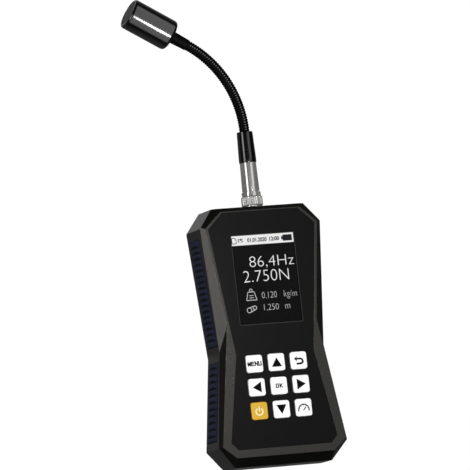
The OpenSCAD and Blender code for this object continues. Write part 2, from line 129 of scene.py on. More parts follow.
class TesterSizes(bpy.types.PropertyGroup):
    """Sizes of the details that the looks add."""

    edge_round: length("Edge round", "Softening of the housing's moulded edges", 0.3)
    lip_round: length("Lip round", "Softening of the edge around the front film", 0.15)
    groove_bow: length("Groove bow", "Bow of the thumb grooves across a grip", 0.5)
    key_round: length("Key round", "Rounding of a key's top edge", 0.35)
    key_crown: length("Key crown", "Height of a key's domed middle", 0.08)
    ink: length("Ink", "Thickness of printed marks", 0.03)
    coil_pitch: length("Coil pitch", "Spacing of the turns of the neck's coil", 1.65)
    coil_depth: length("Coil depth", "Depth of the furrow between two turns", 0.28)


class TesterColours(bpy.types.PropertyGroup):
    """Colours of the finishes."""

    shell: shade("Shell", "Moulded housing", "#080807")
    film: shade("Film", "Printed front film", "#0a0a0a")
    grip: shade("Grip", "Soft side grips", "#272d48")
    # Colour of the painted shade in the thumb grooves and along the pad edges
    painted_grip_shade: shade("Groove", "Bottom of the thumb grooves", "#080b18")
    key: shade("Key", "White keys", "#fdfdfd")
    power: shade("Power key", "Amber key", "#d8aa26")
    ink: shade("Ink", "Dark key legends", "#060606")
    cream: shade("Cream", "Legend on the amber key", "#fff6d8")
    lit: shade("Lit", "Lit parts of the display", "#ffffff")
    nickel: shade("Nickel", "Plated connector", "#cccbc9")
    shrink: shade("Shrink", "Heat-shrink boot and sleeve", "#060606")
    wire: shade("Wire", "Coil of the neck", "#060606")
    # Painted highlight: colour of the bright metal spot on top of each turn where the glints show
    painted_glint: shade("Wire crest", "Worn crest of the coil's turns", "#b0b0b0")
    head: shade("Head", "Sensor head", "#070707")
    face: shade("Head face", "Plain front of the sensor head", "#5a5a5b")
    floor: shade("Floor", "Studio floor", "#fafafa")


def sizes():
    """The sizes of the current scene."""
    return bpy.context.scene.tester_sizes


def colours():
    """The colours of the current scene."""
    return bpy.context.scene.tester_colours


# Mesh helpers

def unit(vector):
    """The vector at length one."""
    return np.asarray(vector, float) / np.linalg.norm(vector)


def grid_faces(rows, columns, wrap_rows=False):
    """Quads of a grid whose rows are closed rings; wrap_rows joins the last ring to the first."""
    i = np.arange(rows if wrap_rows else rows - 1)[:, None]
    j = np.arange(columns)[None, :]
    below, beside = (i + 1) % rows, (j + 1) % columns
    corners = [i * columns + j, i * columns + beside, below * columns + beside, below * columns + j]
    return np.stack(np.broadcast_arrays(*corners), -1).reshape(-1, 4)


def outward(points, quads, caps=()):
    """Closed mesh of quads and caps with its faces turned outward: they flip where its volume is negative.

    The signed volume is the sum of the tetrahedra from the origin to both halves of each quad and to a fan
    over each cap, here without the division by six.
    """
    fans = [np.stack([np.full(len(cap) - 2, cap[0]), cap[1:-1], cap[2:]], -1) for cap in caps]
    corners = np.concatenate([quads[:, [0, 1, 2]], quads[:, [0, 2, 3]], *fans])
    a, b, c = (points[corners[:, k]] for k in range(3))
    faces = [face.tolist() for face in (*quads, *caps)]
    if np.einsum("ij,ij->", a, np.cross(b, c)) < 0:
        faces = [face[::-1] for face in faces]
    return points, faces


def loft(rings):
    """Closed skin over rings of points (rows, columns, 3), with a flat cap on the first and the last ring."""
    rows, columns = rings.shape[:2]
    last = (rows - 1) * columns
    caps = (np.arange(columns)[::-1], np.arange(last, last + columns))
    return outward(rings.reshape(-1, 3), grid_faces(rows, columns), caps)


def band(rings):
    """Closed skin over rings that come back to the first one, as a thick tube or a washer does."""
    rows, columns = rings.shape[:2]
    return outward(rings.reshape(-1, 3), grid_faces(rows, columns, wrap_rows=True))


def at_height(outline, z):
    """Flat points (n, 2) carried to a height."""
    return np.column_stack([outline, np.full(len(outline), z)])


def plate(outline, low, high):
    """Flat plate: an outline of points (n, 2) carried straight up from low to high."""
    return loft(np.stack([at_height(outline, z) for z in (low, high)]))


def ribbon(path, width, low, high):
    """Flat stroke: a path of points (n, 2) widened by half of the width to each side, as a plate."""
    path = np.asarray(path, float)
    along = np.gradient(path, axis=0)
    along /= np.linalg.norm(along, axis=1)[:, None]
    side = np.column_stack([-along[:, 1], along[:, 0]]) * width / 2
    left, right = path + side, path - side
    corners = ((left, low), (right, low), (right, high), (left, high))
    return loft(np.stack([at_height(points, z) for points, z in corners], axis=1))


def arc(centre, radius, start, stop, steps=32):
    """Points on a circle from one angle to another, in degrees."""
    a = np.radians(np.linspace(start, stop, steps))
    return np.column_stack([centre[0] + radius * np.cos(a), centre[1] + radius * np.sin(a)])


def rounded_square(half_x, half_y, radius, steps=8):
    """Rectangle about the origin whose corners are quarter circles of the radius."""
    corners = [(1, 1, 0), (-1, 1, 90), (-1, -1, 180), (1, -1, 270)]
    return np.concatenate([
        arc((sx * (half_x - radius), sy * (half_y - radius)), radius, start, start + 90, steps)
        for sx, sy, start in corners
    ])


def joined(parts):
    """Several meshes as one."""
    points, faces, offset = [], [], 0
    for part_points, part_faces in parts:
        points.append(np.asarray(part_points, float))
        faces += [[index + offset for index in face] for face in part_faces]
        offset += len(part_points)
    return np.concatenate(points), faces


def lathe(profile, place, steps=96, radius_of=None):
    """Turned shape: a closed profile of (radius, distance) goes round an axis.

    place is (origin, axis, side, other). A point lies at origin + distance * axis plus its radius along
    cos(turn) * side + sin(turn) * other. radius_of(radius, distance, turn) may cut flutes or slots.
    """
    origin, axis, side, other = place
    profile = np.asarray(profile, float)
    turn = np.linspace(0, 2 * np.pi, steps, endpoint=False)[None, :]
    radius, distance = profile[:, :1] + 0 * turn, profile[:, 1:] + 0 * turn
    if radius_of is not None:
        radius = radius_of(radius, distance, turn + 0 * radius)
    rings = (origin + distance[..., None] * axis
             + (radius * np.cos(turn))[..., None] * side + (radius * np.sin(turn))[..., None] * other)
    return band(rings)


def rounded_profile(corners, steps=6):
    """Closed profile through (radius, distance, round) corners, each eased by a curve of that reach.

    The curve runs between the points one reach before and after the corner, as a parabola that has the
    corner as its control point.
    """
    corners = np.asarray(corners, float)
    points = []
    for before, here, after in zip(np.roll(corners, 1, 0), corners, np.roll(corners, -1, 0)):
        place, reach = here[:2], here[2]
        if reach <= 0:
            points.append(place[None, :])
            continue
        a = place + unit(before[:2] - place) * reach
        b = place + unit(after[:2] - place) * reach
        t = np.linspace(0, 1, steps)[:, None]
        points.append((1 - t) ** 2 * a + 2 * t * (1 - t) * place + t ** 2 * b)
    return np.concatenate(points)


def on_connector():
    """Place of the connector axis: from the top wall along +Y."""
    return np.array([0, TOP_Y, CONNECTOR_Z]), np.array([0.0, 1, 0]), np.array([1.0, 0, 0]), UP


def neck_point(distance):
    """Point and heading of the resting neck's middle line at a distance from the boot.

    The line is an arc that turns left at a steady rate, with straight runs before and after it.
    """
    distance = np.asarray(distance, float)
    on_arc = np.clip(distance, 0, NECK_LENGTH)
    heading = on_arc / NECK_BEND
    rest = distance - on_arc
    x = -NECK_BEND * (1 - np.cos(heading)) - rest * np.sin(heading)
    y = NECK_START + NECK_BEND * np.sin(heading) + rest * np.cos(heading)
    return np.stack([x, y, np.full_like(x, CONNECTOR_Z)], -1), heading


def on_head():
    """Place of the head axis: from the last neck joint along the neck's last heading."""
    spot = np.array([0.0, NECK_START + LINK_LENGTH / 2])
    for k in range(1, NECK_JOINTS):
        spot = spot + LINK_LENGTH * np.array([-math.sin(k * LINK_TURN), math.cos(k * LINK_TURN)])
    axis = np.array([-math.sin(NECK_ANGLE), math.cos(NECK_ANGLE), 0])
    return np.array([*spot, CONNECTOR_Z]), axis, np.array([axis[1], -axis[0], 0]), UP


def add_object(name, data):
    """A new object in the scene."""
    thing = bpy.data.objects.new(name, data)
    bpy.context.scene.collection.objects.link(thing)
    return thing


def finished(name, mesh, finish, body=None, replaced=()):
    """Makes a piece of a mesh, with its finish and body and the solids it replaces."""
    mesh.materials.clear()
    mesh.materials.append(finish)
    piece = add_object(name, mesh)
    if body:
        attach(piece, body)
    if replaced:
        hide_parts(*replaced)
    return piece


def put(name, shape, finish, body=None, replaced=(), crease=35.0, values=None):
    """Makes a finished piece from points in millimetres and faces; values are numbers for each point."""
    points, faces = shape
    mesh = bpy.data.meshes.new(name)
    mesh.from_pydata((np.asarray(points) * MM).tolist(), [], faces)
    for label, numbers in (values or {}).items():
        attribute = mesh.attributes.new(label, "FLOAT", "POINT")
        attribute.data.foreach_set("value", np.asarray(numbers, np.float32))
    mesh.shade_smooth()
    mesh.set_sharp_from_angle(angle=math.radians(crease))
    mesh.update()
    return finished(name, mesh, finish, body, replaced)


def dress(node, finish):
    """Gives a solid that stays as it is a finish."""
    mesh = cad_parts[node].data
    mesh.materials.clear()
    mesh.materials.append(finish)


def words(text, left, baseline, width, height, weight=0.0):
    """Outline letters as a flat mesh of points and faces, stretched to a width and a capital height.

    weight thickens the strokes by that share of the letter size.
    """
    curve = bpy.data.curves.new("letters", "FONT")
    curve.body = text
    curve.resolution_u = 6
    curve.offset = weight
    helper = add_object("letters", curve)
    flat = helper.evaluated_get(bpy.context.evaluated_depsgraph_get()).to_mesh()
    points = np.empty(len(flat.vertices) * 3)
    flat.vertices.foreach_get("co", points)
    points = points.reshape(-1, 3)[:, :2]
    faces = [list(polygon.vertices) for polygon in flat.polygons]
    bpy.data.objects.remove(helper)
    bpy.data.curves.remove(curve)
    low, high = points.min(0), points.max(0)
    scale = np.array([width / (high[0] - low[0]), height / high[1]])
    return (points - [low[0], 0]) * scale + [left, baseline], faces


def raised(flat, low, high):
    """Flat faces given a thickness: the faces above, their copy below, and a wall along each free edge."""
    points, faces = flat
    count = len(points)
    solid = np.concatenate([at_height(points, z) for z in (low, high)])
    corners = points[np.array([face[:3] for face in faces])]
    turn = np.cross(corners[:, 1] - corners[:, 0], corners[:, 2] - corners[:, 0])
    faces = [face if t > 0 else face[::-1] for face, t in zip(faces, turn)]
    edges = {(a, b) for face in faces for a, b in zip(face, face[1:] + face[:1])}
    walls = [[a, b, b + count, a + count] for a, b in edges if (b, a) not in edges]
    walls.sort()
    return solid, [[i + count for i in face] for face in faces] + [face[::-1] for face in faces] + walls


# Materials

PATCH_GRAINS = 30


def add_node(tree, kind, settings=None, links=None):
    """Adds a node, sets its options or unlinked inputs, and links its other inputs."""
    node = tree.nodes.new(kind)
    for name, value in (settings or {}).items():
        if name in node.inputs:
            node.inputs[name].default_value = value
        else:
            setattr(node, name, value)
    for name, socket in (links or {}).items():
        tree.links.new(socket, node.inputs[name])
    return node


def new_material(name, settings):
    """A node material: its tree, its Principled shader with the settings given, and Object coordinates."""
    material = bpy.data.materials.new(name)
    material.use_nodes = True
    tree = material.node_tree
    shader = tree.nodes["Principled BSDF"]
    for label, value in settings.items():
        shader.inputs[label].default_value = value
    place = add_node(tree, "ShaderNodeTexCoord").outputs["Object"]
    return material, tree, shader, place


def rgba(colour, gain=1.0):
    """A colour property as four numbers, lightened or darkened by a gain."""
    return [*(min(1.0, c * gain) for c in colour), 1.0]


def speckle(tree, place, grain_mm, low=0.0, high=1.0):
    """Values between low and high that vary from grain to grain of the size given."""
    noise = add_node(tree, "ShaderNodeTexNoise", {"Scale": 1 / (grain_mm * MM), "Detail": 3.0},
                     {"Vector": place})
    scaled = add_node(tree, "ShaderNodeMapRange",
                      {"From Min": 0.3, "From Max": 0.7, "To Min": low, "To Max": high},
                      {"Value": noise.outputs["Fac"]})
    return scaled.outputs["Result"]


def mottled(tree, place, grain_mm, colour, dark, light):
    """Colour that runs between a darker and a lighter shade of itself over grains of the size given."""
    factor = speckle(tree, place, grain_mm)
    mix = add_node(tree, "ShaderNodeMix", {"data_type": "RGBA"}, {"Factor": factor})
    mix.inputs[6].default_value = rgba(colour, dark)
    mix.inputs[7].default_value = rgba(colour, light)
    return mix.outputs[2]


def marked(tree, shader, label, plain, other):
    """Base colour that runs from a plain colour to another one by a value of the points, which it gives."""
    factor = add_node(tree, "ShaderNodeAttribute", {"attribute_name": label}).outputs["Fac"]
    mix = add_node(tree, "ShaderNodeMix", {"data_type": "RGBA"}, {"Factor": factor})
    tree.links.new(plain, mix.inputs[6])
    mix.inputs[7].default_value = rgba(other)
    tree.links.new(mix.outputs[2], shader.inputs["Base Color"])
    return factor


def skin(tree, shader, pattern, rough, bump_mm, strength=1.0):
    """Roughness between two values and a bump of the depth given, both after one pattern."""
    roughness = add_node(tree, "ShaderNodeMapRange", {"To Min": rough[0], "To Max": rough[1]},
                         {"Value": pattern})
    tree.links.new(roughness.outputs["Result"], shader.inputs["Roughness"])
    bump = add_node(tree, "ShaderNodeBump", {"Strength": strength, "Distance": bump_mm * MM},
                    {"Height": pattern})
    tree.links.new(bump.outputs["Normal"], shader.inputs["Normal"])


def grained(name, settings, colour, grain_mm, bump_mm, rough, shades=(0.85, 1.15)):
    """A material whose roughness and height vary from grain to grain, and its colour over broad patches."""
    material, tree, shader, place = new_material(name, settings)
    patches = mottled(tree, place, grain_mm * PATCH_GRAINS, colour, *shades)
    tree.links.new(patches, shader.inputs["Base Color"])
    skin(tree, shader, speckle(tree, place, grain_mm), rough, bump_mm)
    return material


def moulded_abs():
    """ABS moulded in a spark-eroded tool: near black, with a satin sheen that tells its planes apart.

    The real grain of about 0.1 mm is drawn at 0.35 mm, as coarse as it needs to show.
    """
    settings = {"IOR": 1.53, "Specular IOR Level": 0.5, "Specular Tint": (1, 0.97, 0.92, 1)}
    return grained("moulded_abs", settings, colours().shell, 0.35, 0.012, (0.24, 0.34))


def soft_tpe():
    """Thermoplastic rubber: matt and slightly dusty, with painted shade in the thumb grooves and at the
    edges.
    """
    material, tree, shader, place = new_material("soft_tpe", {"IOR": 1.5, "Specular IOR Level": 0.2})
    pad = mottled(tree, place, 9, colours().grip, 0.85, 1.2)
    # Painted shade: the pad runs to the shade colour in the grooves and at the edges
    marked(tree, shader, "painted_grip_shade", pad, colours().painted_grip_shade)
    skin(tree, shader, speckle(tree, place, 0.4), (0.55, 0.75), 0.03)
    return material


def printed_film():
    """Polyester film with a velvet face, printed black behind: even, dark and almost without gloss."""
    settings = {"IOR": 1.5, "Specular IOR Level": 0.09}
    return grained("printed_film", settings, colours().film, 0.25, 0.006, (0.35, 0.45), (0.92, 1.08))


def clear_acrylic():
    """Cast acrylic with a hard coat against glare: see-through, with only a weak gloss of its own."""
    settings = {"IOR": 1.49, "Specular IOR Level": 0.2, "Alpha": 0.08, "Base Color": (0.004, 0.004, 0.005, 1)}
    material, tree, shader, place = new_material("clear_acrylic", settings)
    tree.links.new(speckle(tree, place, 6, 0.3, 0.4), shader.inputs["Roughness"])
    return material


def display_glass():
    """Bonded display glass, switched on but black between its lit parts."""
    settings = {"IOR": 1.2, "Specular IOR Level": 0.1}
    return grained("display_glass", settings, linear("#0d0d0e"), 2.0, 0.0, (0.2, 0.3))


def lit_pixels(name, colour, strength):
    """Lit part of the display, or a lit table: an even glow with a faint check of 0.36 mm squares."""
    settings = {"Roughness": 0.5, "Specular IOR Level": 0.1, "Base Color": (0, 0, 0, 1)}
    material, tree, shader, place = new_material(name, {**settings, "Emission Strength": strength})
    squares = {"Scale": 1 / (0.36 * MM), "Color1": rgba(colour), "Color2": rgba(colour, 0.94)}
    check = add_node(tree, "ShaderNodeTexChecker", squares, {"Vector": place})
    tree.links.new(check.outputs["Color"], shader.inputs["Emission Color"])
    return material


def silicone_key(name, colour):
    """Moulded silicone rubber with a satin skin: soft highlights and a faint unevenness."""
    settings = {"IOR": 1.43, "Specular IOR Level": 0.4}
    return grained(name, settings, colour, 0.3, 0.008, (0.42, 0.55), (0.97, 1.03))


def key_ink(name, colour):
    """Screen-printed ink: flat, with the slight mottle of the mesh it went through."""
    return grained(name, {"Specular IOR Level": 0.06}, colour, 0.2, 0.004, (0.5, 0.65), (0.9, 1.1))


def turned_nickel():
    """Nickel plate over turned brass: bright, with fine rings left by the tool about every 0.2 mm."""
    material, tree, shader, place = new_material("turned_nickel", {"Metallic": 0.75})
    plating = mottled(tree, place, 3, colours().nickel, 0.9, 1.05)
    tree.links.new(plating, shader.inputs["Base Color"])
    rings = add_node(tree, "ShaderNodeMapping", {"Scale": (120, 4500, 120)}, {"Vector": place})
    marks = add_node(tree, "ShaderNodeTexNoise", {"Scale": 1.0, "Detail": 2.0},
                     {"Vector": rings.outputs["Vector"]})
    skin(tree, shader, marks.outputs["Fac"], (0.08, 0.22), 0.01, 0.5)
    return material


def heat_shrink(name, gloss, rough):
    """Polyolefin heat-shrink tube: black, glossy on the boot and dull on the sleeve, with shallow waves."""
    return grained(name, {"IOR": 1.5, "Specular IOR Level": gloss}, colours().shrink, 1.6, 0.001, rough)


def blackened_wire():
    """Steel wire blackened in hot oxide: dull, with a painted highlight, a spot of bright metal on top of
    each turn that glints.
    """
    material, tree, shader, place = new_material("blackened_wire", {"Specular IOR Level": 0.06})
    oxide = mottled(tree, place, 0.5, colours().wire, 0.7, 1.3)
    # Painted highlight: bright, metallic and smooth on the spot on top of each turn
    painted_glint = marked(tree, shader, "painted_glint", oxide, colours().painted_glint)
    tree.links.new(painted_glint, shader.inputs["Metallic"])
    rough = add_node(tree, "ShaderNodeMapRange", {"To Min": 0.5, "To Max": 0.16}, {"Value": painted_glint})
    tree.links.new(rough.outputs["Result"], shader.inputs["Roughness"])
    return material


def anodised_aluminium():
    """Aluminium anodised black after fine turning: a satin skin whose highlights stay straight-edged."""
    settings = {"IOR": 1.6, "Specular IOR Level": 0.8}
    return grained("anodised_aluminium", settings, colours().head, 0.6, 0.0002, (0.13, 0.2))


def head_face():
    """Pressed acoustic cloth over the microphone: plain grey and matt."""
    return grained("head_face", {"Specular IOR Level": 0.3}, colours().face, 0.4, 0.03, (0.55, 0.75))


# Finishes inside, each with its solids, shader settings, colour, grain and bump in mm, and roughness

HIDDEN = {
    # Steel plated in a barrel: grey and slightly cloudy
    "zinc_plated_steel": (("housing_screws", "board_screws"), {"Metallic": 1.0}, "#9a9ca0",
                          0.4, 0.005, (0.25, 0.4)),
    # Stainless sheet pressed to shape: pale, with a soft uneven gloss
    "pressed_stainless": (("display_frame", "dome_switches", "usb_socket", "microphone"), {"Metallic": 1.0},
                          "#b0b2b4", 1.0, 0.003, (0.2, 0.35)),
    # Woven glass and resin under green lacquer: even and half glossy
    "glass_laminate": (("main_board",), {"IOR": 1.55}, "#1f5a38", 0.8, 0.01, (0.3, 0.45)),
    # Foil drawn round a soft cell: grey and gently dented
    "foil_pouch": (("battery",), {"Metallic": 0.7}, "#7d8288", 2.5, 0.05, (0.3, 0.5)),
    # Thin gold over turned pins: warm and bright
    "gold_plate": (("contact_pins",), {"Metallic": 1.0}, "#c8a650", 0.4, 0.002, (0.15, 0.25)),
    # Nylon moulded with glass fibre: dull black, finely speckled
    "glass_filled_nylon": (("socket_insert", "plug_insert"), {"IOR": 1.53}, "#181818",
                           0.3, 0.01, (0.45, 0.6)),
    # Rubber cured in a mould: dark and matt
    "nitrile_rubber": (("microphone_holder",), {"IOR": 1.5}, "#2b2b2b", 0.5, 0.02, (0.6, 0.8)),
}


# Housing: lengths in millimetres, angles in degrees

WELD = 0.002
FLAT_ANGLE = 0.3
SHARP_ANGLE = 15
SHORT_EDGE = 0.6
SHORT_SMOOTH = 8
LONG_SMOOTH = 20


def softened(node, name, finish, chosen):
    """A merged copy of a solid with its chosen sharp outer edges rounded, which stands for the solid.

    An edge is rounded where its faces meet at SHARP_ANGLE or more, bulging outward, and where
    chosen(points, angle) gives it a reach above zero.
    """
    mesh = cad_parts[node].data.copy()
    mesh.name = name
    work = bmesh.new()
    work.from_mesh(mesh)
    bmesh.ops.remove_doubles(work, verts=work.verts, dist=WELD * MM)
    bmesh.ops.dissolve_limit(work, angle_limit=math.radians(FLAT_ANGLE), verts=work.verts, edges=work.edges)
    groups = {}
    for edge in work.edges:
        angle = math.degrees(edge.calc_face_angle_signed(0)) if len(edge.link_faces) == 2 else 0
        if angle < SHARP_ANGLE:
            continue
        reach = chosen(np.array([v.co[:] for v in edge.verts]) / MM, angle)
        if reach > 0:
            groups.setdefault(reach, []).append(edge)
    for reach in sorted(groups, reverse=True):
        edges = [edge for edge in groups[reach] if edge.is_valid]
        bmesh.ops.bevel(work, geom=edges, offset=reach * MM, offset_type="OFFSET", segments=3, profile=0.5,
                        affect="EDGES", clamp_overlap=True)
    work.normal_update()
    for face in work.faces:
        face.smooth = True
    for edge in work.edges:
        limit = SHORT_SMOOTH if edge.calc_length() < SHORT_EDGE * MM else LONG_SMOOTH
        edge.smooth = edge.calc_face_angle(0) < math.radians(limit)
    work.to_mesh(mesh)
    work.free()
    piece = finished(name, mesh, finish, "housing", [node])
    weighted = piece.modifiers.new("even_shading", "WEIGHTED_NORMAL")
    weighted.keep_sharp = True


def side_inset(points):
    """How far points lie inside the housing's sides and ends: the least distance to their lines."""
    x, y = np.abs(points[:, 0]), points[:, 1]
    gaps = []
    for a, b in ((HIP, WAIST), (WAIST, SHOULDER)):
        along = unit(b - a)
        gap = -((x - a[0]) * along[1] - (y - a[1]) * along[0])
        gaps.append(np.where((y >= a[1] - 1) & (y <= b[1] + 1), gap, np.inf))
    ends = np.minimum(TOP_Y - y, y + TOP_Y)
    return np.minimum(np.minimum(*gaps), ends)


class TESTER_OT_shells(bpy.types.Operator):
    """Front and rear shells with moulded edges"""

    bl_idname = "tester.shells"
    bl_label = "Shells"

    level = 0.05
    lip_angle = 80
    front_inset = 2.6
    rear_inset = 1.2
    upright = 1.5
    corner_from = 69
    corner_top = 3.6
    screw_x = 31.4
    screw_y = 62.5
    screw_middle = -1
    screw_room = 5

    def at_screw(self, points):
        """True for an edge of a screw's counterbore in the rear face."""
        x, y = np.abs(points[:, 0]), np.abs(points[:, 1] - self.screw_middle)
        return bool(np.all(np.hypot(x - self.screw_x, y - self.screw_y) < self.screw_room))

    def execute(self, context):
        """Rounds the outer edges of both shells and leaves their insides as they are."""
        plastic = moulded_abs()
        edge, lip = sizes().edge_round / MM, sizes().lip_round / MM

        def front_edges(points, angle):
            if np.all(points[:, 2] > FRONT_Z - self.level):
                return lip if angle > self.lip_angle else edge
            outer = np.all(side_inset(points) < self.front_inset)
            return edge if outer or np.ptp(points[:, 2]) > self.upright else 0

        def rear_edges(points, angle):
            outer = np.all(side_inset(points) < self.rear_inset) or np.all(points[:, 2] < self.level)
            at_end = np.all(np.abs(points[:, 1]) > self.corner_from)
            corner = at_end and np.all(points[:, 2] < self.corner_top)
            return edge if (outer or corner) and not self.at_screw(points) else 0

        softened("front_shell", "front_shell_moulding", plastic, front_edges)
        softened("rear_shell", "rear_shell_moulding", plastic, rear_edges)
        return {"FINISHED"}


class TESTER_OT_grips(bpy.types.Operator):
    """Soft side grips with thumb grooves"""

    bl_idname = "tester.grips"
    bl_label = "Grips"

    pocket = 1.4
    crown = 0.9
    end_room = 3.0
    end_round = 0.9
    end_drop = 0.7
    groove_radius = 1.1
    groove_above = 0.3
    groove_reach = 7.6
    groove_fade = 0.8
    edge_shade = 1.6
    full_shade = 0.4
    steps_along = 14
    steps_across = 37

    def pad(self, start, end, run, pitch, low, high, mirror):
        """Pad on a side: a crowned strip with grooves, as a height over distance u along it and w across it.

        The height is crown * (1 - (w / half)^2). Near both ends it eases down on a quarter circle. Grooves
        are cylinders across the strip, each sunk until it reaches the crown, bowed a little along u. The
        painted shade is dark in the grooves and within edge_shade of the strip's edges and ends.
        """
        along = unit(end - start)
        out = np.array([along[1], -along[0]])
        half, middle = (high - low) / 2, (high + low) / 2
        grooves = int((run[1] - run[0] - self.end_room) // pitch)
        u = np.linspace(*run, (grooves + 1) * self.steps_along + 1)[:, None]
        w = np.linspace(-half, half, self.steps_across)[None, :]
        from_end = np.minimum(u - run[0], run[1] - u)
        near = np.clip(1 - from_end / self.end_round, 0, 1)
        height = self.crown * (1 - (w / half) ** 2) - self.end_drop * (1 - np.sqrt(1 - near ** 2))
        bowed = u - (run[0] + run[1]) / 2 + sizes().groove_bow / MM * (w / self.groove_reach) ** 2
        step = bowed + (grooves - 1) / 2 * pitch
        off = step - np.clip(np.round(step / pitch), 0, grooves - 1) * pitch
        sunk = self.crown + self.groove_above - np.sqrt(np.clip(self.groove_radius ** 2 - off ** 2, 0, None))
        inside = np.clip((self.groove_reach - np.abs(w)) / self.groove_fade + 0.5, 0, 1)
        cut = np.clip(height - sunk, 0, None) * inside * (np.abs(off) < self.groove_radius)
        top = np.stack(np.broadcast_arrays(u, height - cut, middle + w), -1)
        base = [np.stack(np.broadcast_arrays(u, -self.pocket, middle + s * half), -1) for s in (1, -1)]
        ring = np.concatenate([top, *base], axis=1)
        flat = start + ring[..., :1] * along + ring[..., 1:2] * out
        points = np.concatenate([flat, ring[..., 2:]], axis=-1)
        if mirror:
            points = points * np.array([-1, 1, 1])
        # Painted shade: dark near the pad's edges and ends, and in the grooves
        edge = np.clip(1 - np.minimum(half - np.abs(w), from_end) / self.edge_shade, 0, 1)
        dark = np.clip(cut / self.full_shade + edge, 0, 1)
        return loft(points), np.pad(dark, ((0, 0), (0, 2))).reshape(-1)

    def execute(self, context):
        """Makes the four pads in their pockets."""
        rubber = soft_tpe()
        upper, lower = np.linalg.norm(SHOULDER - WAIST), np.linalg.norm(WAIST - HIP)
        runs = {
            "upper": (WAIST, SHOULDER, (4.4, upper - 6), 3.8),
            "lower": (HIP, WAIST, (5, lower - 5.4), 4.4),
        }
        for side in ("left", "right"):
            for level, (start, end, run, pitch) in runs.items():
                node = f"grip_{side}_{level}"
                low, high = node_box(node)
                shape, dark = self.pad(start, end, run, pitch, low[2], high[2], side == "left")
                # Each point carries its share of painted shade
                put(node + "_pad", shape, rubber, "housing", [node], 50, {"painted_grip_shade": dark})
        return {"FINISHED"}


class TESTER_OT_front(bpy.types.Operator):
    """Printed film, window and display"""

    bl_idname = "tester.front"
    bl_label = "Front film and display"

    window_gap = 0.12
    window_bevel = 0.15
    window_corner = 1.0
    line_insets = (1.35, 0.95)
    line_corner = 0.7
    line_height = 0.02
    lift = 0.005
    stroke = 0.45
    bar = 0.4
    thin = -0.02
    bold = 0.035
    large = (("86,4Hz", -10.3, 8.1, 30.6, 6.9), ("2.750N", -15.4, -1.5, 31.2, 7.4))
    small = (("0,120", -4.2, -12.4, 10.2, 4.0), ("kg/m", 11.0, -12.4, 8.9, 4.2),
             ("1,250", -3.6, -20.2, 10.1, 3.9), ("m", 11.0, -20.2, 3.3, 2.9))
    status = (("1%", -16.6, 24.5, 3.6, 2.5), ("01.01.2020", -10.2, 24.5, 13.4, 2.5),
              ("12:00", 5.0, 24.5, 6.8, 2.5))

    def execute(self, context):
        """Finishes the film and builds the window, the line round it and the picture behind it."""
        dress("front_overlay", printed_film())
        dress("display_glass", display_glass())
        low, high = node_box("display_lens")
        half, top = (high - low)[:2] / 2, high[2]
        bevel = self.window_bevel
        levels = [(0.0, GLASS_Z + self.window_gap), (0.0, top - bevel), (bevel, top)]
        window = loft(np.stack([self.frame_ring(half - inset, self.window_corner, z) for inset, z in levels]))
        put("display_window", window, clear_acrylic(), "housing", ["display_lens"])
        inner, outer = self.line_insets
        under, over = top + self.lift, top + self.lift + self.line_height
        edges = [(inner, under), (outer, under), (outer, over), (inner, over)]
        line = band(np.stack([self.frame_ring(half - inset, self.line_corner, z) for inset, z in edges]))
        put("window_line", line, key_ink("grey_ink", linear("#3a3a3a")), "housing")
        self.readings()
        return {"FINISHED"}

    @staticmethod
    def frame_ring(half, radius, z):
        """Rounded rectangle about the middle of the picture, at a height."""
        return at_height(rounded_square(*half, radius) + [0, DISPLAY_Y], z)

    def readings(self):
        """The lit picture: a white status strip with small signs, two large readings and two small ones."""
        low = GLASS_Z + self.lift
        high = low + sizes().ink / MM
        strip = np.array([[-21.6, 22.6], [21.6, 22.6], [21.6, 28.8], [-21.6, 28.8]])
        lit = [plate(strip, low, high)] + [raised(words(*line, self.thin), low, high) for line in self.large]
        self.show("display_readings", lit, lit_pixels("display_white", colours().lit, 1.0))
        small = [raised(words(*line, self.thin), low, high) for line in self.small]
        small += self.weight_sign(low, high) + self.belt_sign(low, high)
        self.show("display_details", small, lit_pixels("display_grey", linear("#d2d2d2"), 1.0))
        low = high + self.lift
        high = low + sizes().ink / MM / 2
        marks = [raised(words(*line, self.bold), low, high) for line in self.status]
        card = np.array([[-20.8, 23.9], [-17.9, 23.9], [-17.9, 26.6], [-18.8, 27.5], [-20.8, 27.5],
                         [-20.8, 23.9]])
        marks += [ribbon(card[i:i + 2], self.stroke, low, high) for i in range(5)]
        battery = [(3.2, 2.0, 0.4, 17.4), (0.5, 1.0, 0.2, 13.7)]
        marks += [plate(rounded_square(*box, 4) + [x, 25.7], low, high) for *box, x in battery]
        self.show("display_signs", marks, lit_pixels("display_dark", linear("#181a20"), 1.0))

    @staticmethod
    def show(name, shapes, finish):
        """Puts flat shapes, drawn about the middle of the picture, on the display."""
        points, faces = joined(shapes)
        put(name, (points + [0, DISPLAY_Y, 0], faces), finish, "housing")

    def weight_sign(self, low, high):
        """Sign of a cast weight: a trapezium line with a ring on top and two bars inside."""
        body = np.array([[-15.0, -13.1], [-7.9, -13.1], [-9.3, -7.8], [-13.6, -7.8], [-15.0, -13.1]])
        strokes = [(body[i:i + 2], self.stroke) for i in range(4)]
        strokes.append((arc((-11.45, -6.8), 0.95, -60, 240, 24), self.stroke))
        strokes += [(np.array([[-12.9, y], [-10.0, y]]), self.bar) for y in (-11.6, -10.1)]
        return [ribbon(path, width, low, high) for path, width in strokes]

    def belt_sign(self, low, high):
        """Sign of a belt on two pulleys: two circles joined by two straight runs."""
        wheels = [(np.array([-13.8, -19.5]), 1.55), (np.array([-9.9, -18.1]), 1.2)]
        strokes = [arc(centre, radius, 0, 360, 40) for centre, radius in wheels]
        side = unit((wheels[1][0] - wheels[0][0])[::-1] * [-1, 1])
        for sign in (-1, 1):
            strokes.append(np.array([centre + sign * side * radius for centre, radius in wheels]))
        return [ribbon(path, self.stroke, low, high) for path in strokes]


